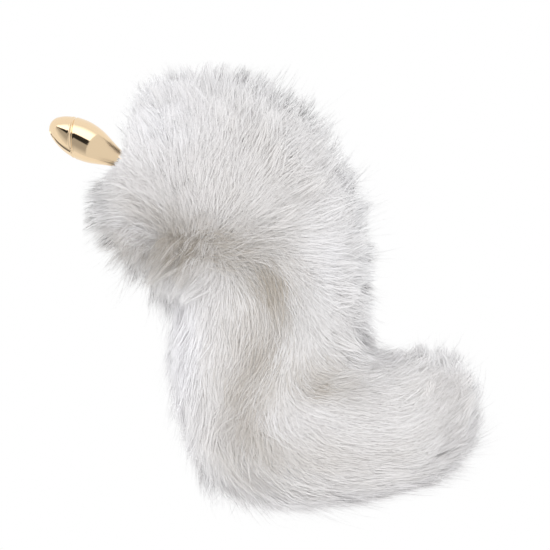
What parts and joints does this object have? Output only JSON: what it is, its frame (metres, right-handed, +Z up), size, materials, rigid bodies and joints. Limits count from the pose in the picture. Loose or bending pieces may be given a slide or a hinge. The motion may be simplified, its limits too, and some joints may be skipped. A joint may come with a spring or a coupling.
{
  "type": "fox tail plug",
  "caption": "Worn costume tail: a grooved, bud-shaped gold metal plug with a round base plate carries a deep white fox tail that lies in an S.",
  "frame": {"origin": "centre of the bounding box's base, on the surface that the tail lies on", "axes": "+Z up from the surface, towards the camera of the picture; +X to the picture's right and +Y to its top. The plug's head points to -X and +Y, and the tail's tip to +X"},
  "size_m": [0.3096, 0.3026, 0.0969],
  "materials": {
    "gold_metal": "polished, pale gold colour",
    "post_metal": "turned, bare",
    "white_fur": "long soft white fur with pale beige depths"
  },
  "bodies": {
    "root": {"plug": "gold_metal", "tail_post": "post_metal", "fur_tail": "white_fur"}
  },
  "joints": []
}
